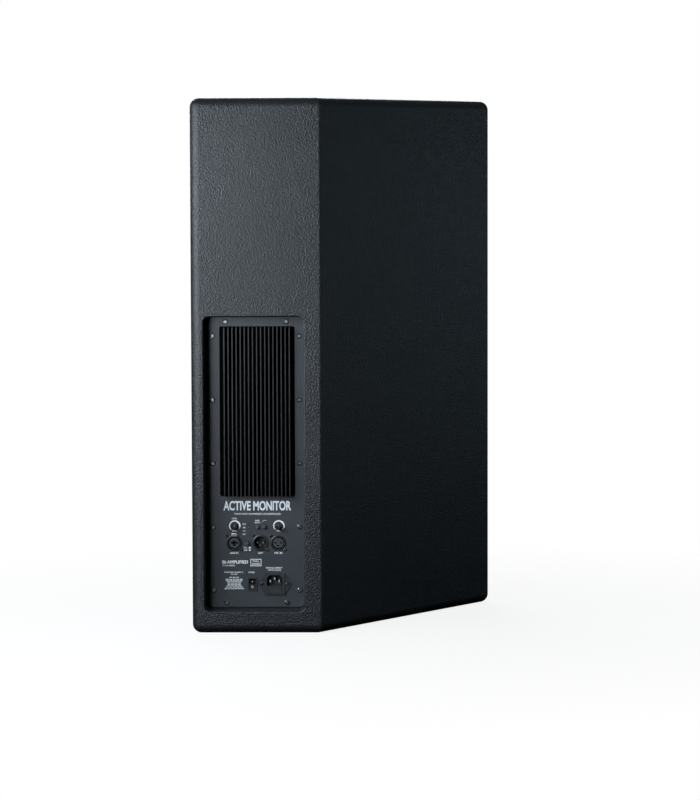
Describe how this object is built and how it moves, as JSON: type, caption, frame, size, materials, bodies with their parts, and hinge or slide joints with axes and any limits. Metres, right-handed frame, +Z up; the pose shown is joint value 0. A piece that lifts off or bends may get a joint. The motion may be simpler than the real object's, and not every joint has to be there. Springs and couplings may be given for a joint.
{
  "type": "stage monitor wedge",
  "caption": "Powered stage monitor in a black wooden cabinet with a slanted side, a recessed amplifier panel, a carry handle and a stand socket.",
  "frame": {"origin": "centre of the bounding box on the surface that the cabinet stands on", "axes": "+Z up along the upright cabinet, -Y out of the grille, +Y out of the amplifier panel, -X towards the slanted side"},
  "size_m": [0.468, 0.385, 0.83],
  "materials": {
    "cabinet_paint": "black pebbled water-based paint on plywood",
    "baffle_paint": "matt black paint on plywood",
    "raw_plywood": "bare birch plywood",
    "grille_paint": "black powder coat on perforated steel",
    "grille_foam": "thin open-cell acoustic foam",
    "lining_foam": "soft sound-absorbing foam",
    "cast_basket": "black painted casting",
    "gasket_rubber": "cork and rubber gasket",
    "surround_cloth": "doped cloth",
    "spider_cloth": "corrugated phenolic cloth",
    "cone_paper": "dark pressed paper",
    "voice_coil": "copper winding on a former",
    "motor_steel": "zinc-plated steel",
    "ferrite": "ceramic magnet",
    "horn_plastic": "moulded black plastic",
    "hf_motor": "black steel motor",
    "hf_cover": "moulded cover",
    "titanium": "thin metal dome",
    "black_screws": "black oxide screws",
    "socket_plastic": "moulded nylon",
    "handle_plastic": "moulded dish",
    "handle_grip": "rubber-covered bar",
    "panel_paint": "dark grey satin powder coat with white print",
    "heat_sink": "black anodised extrusion",
    "chassis_steel": "zinc-plated sheet",
    "circuit_board": "glass-fibre board with parts",
    "lead_jacket": "two-core lead",
    "knob_plastic": "black knob with a white pointer",
    "button_plastic": "black push button",
    "led_lens": "milky indicator lens",
    "connector_plastic": "moulded black shell",
    "release_metal": "nickel-plated tab",
    "inlet_plastic": "moulded black plastic",
    "contact_metal": "plated contacts",
    "fuse_glass": "glass tube fuses",
    "rocker_plastic": "black rocker with white marks"
  },
  "bodies": {
    "cabinet": {"top_panel": "cabinet_paint", "bottom_panel": "cabinet_paint", "straight_side": "cabinet_paint", "slanted_side": "cabinet_paint", "rear_panel": "cabinet_paint", "baffle": "baffle_paint", "grille_battens": "baffle_paint", "amp_recess_frame": "baffle_paint", "window_brace": "raw_plywood", "grille": "grille_paint", "grille_foam": "grille_foam", "damping_foam": "lining_foam", "woofer_basket": "cast_basket", "woofer_gasket": "gasket_rubber", "woofer_surround": "surround_cloth", "woofer_spider": "spider_cloth", "woofer_top_plate": "motor_steel", "woofer_yoke": "motor_steel", "woofer_magnet": "ferrite", "horn": "horn_plastic", "port_tubes": "horn_plastic", "hf_driver_motor": "hf_motor", "hf_rear_cover": "hf_cover", "driver_screws": "black_screws", "grille_screws": "black_screws", "hf_driver_bolts": "black_screws", "countersunk_screws": "black_screws", "amp_panel_screws": "black_screws", "socket_screws": "black_screws", "pole_socket": "socket_plastic", "handle_dish": "handle_plastic", "handle_bar": "handle_grip", "amp_panel": "panel_paint", "heat_sink": "heat_sink", "amp_chassis": "chassis_steel", "amplifier_board": "circuit_board", "input_board": "circuit_board", "power_supply_board": "circuit_board", "speaker_leads": "lead_jacket", "indicator_leds": "led_lens", "line_combo_jack": "connector_plastic", "mic_in_socket": "connector_plastic", "connector_inserts": "connector_plastic", "line_out_socket": "connector_plastic", "mains_inlet": "inlet_plastic", "switch_housing": "inlet_plastic", "contact_pins": "contact_metal"},
    "line_level": {"line_level_knob": "knob_plastic"},
    "mic_level": {"mic_level_knob": "knob_plastic"},
    "boost": {"boost_button": "button_plastic"},
    "low_cut": {"low_cut_button": "button_plastic"},
    "mode": {"mode_button": "button_plastic"},
    "release_tab": {"combo_release_tab": "release_metal"},
    "fuse_holder": {"fuse_drawer": "inlet_plastic", "mains_fuses": "fuse_glass"},
    "rocker": {"power_rocker": "rocker_plastic"},
    "woofer_cone_assembly": {"woofer_cone": "cone_paper", "dust_cap": "cone_paper", "voice_coil": "voice_coil"},
    "hf_diaphragm": {"hf_diaphragm": "titanium"}
  },
  "joints": [
    {"name": "line_level_turn", "type": "hinge", "parent": "cabinet", "child": "line_level", "pos_m": [0.1697, 0.1505, 0.1635], "axis": [0, 1, 0], "range_deg": [-140, 140]},
    {"name": "mic_level_turn", "type": "hinge", "parent": "cabinet", "child": "mic_level", "pos_m": [0.1007, 0.1505, 0.1635], "axis": [0, 1, 0], "range_deg": [-140, 140]},
    {"name": "boost_press", "type": "slide", "parent": "cabinet", "child": "boost", "axis": [0, -1, 0], "range_m": [0, 0.0025], "stiffness_N_per_m": 400, "springref_m": -0.001},
    {"name": "low_cut_press", "type": "slide", "parent": "cabinet", "child": "low_cut", "axis": [0, -1, 0], "range_m": [0, 0.0025], "stiffness_N_per_m": 400, "springref_m": -0.001},
    {"name": "mode_press", "type": "slide", "parent": "cabinet", "child": "mode", "axis": [0, -1, 0], "range_m": [0, 0.0025], "stiffness_N_per_m": 400, "springref_m": -0.001},
    {"name": "release_press", "type": "slide", "parent": "cabinet", "child": "release_tab", "axis": [0, -1, 0], "range_m": [0, 0.0015], "stiffness_N_per_m": 500, "springref_m": -0.001},
    {"name": "fuse_drawer_pull", "type": "slide", "parent": "cabinet", "child": "fuse_holder", "axis": [0, 1, 0], "range_m": [0, 0.021]},
    {"name": "power_rock", "type": "hinge", "parent": "cabinet", "child": "rocker", "pos_m": [0.1424, 0.1475, 0.0725], "axis": [1, 0, 0], "range_deg": [0, 16]},
    {"name": "woofer_travel", "type": "slide", "parent": "cabinet", "child": "woofer_cone_assembly", "axis": [0, -1, 0], "range_m": [-0.007, 0.007], "stiffness_N_per_m": 6300, "deforming": ["woofer_surround", "woofer_spider"]},
    {"name": "hf_travel", "type": "slide", "parent": "cabinet", "child": "hf_diaphragm", "axis": [0, -1, 0], "range_m": [-0.0004, 0.0004], "stiffness_N_per_m": 3000}
  ]
}
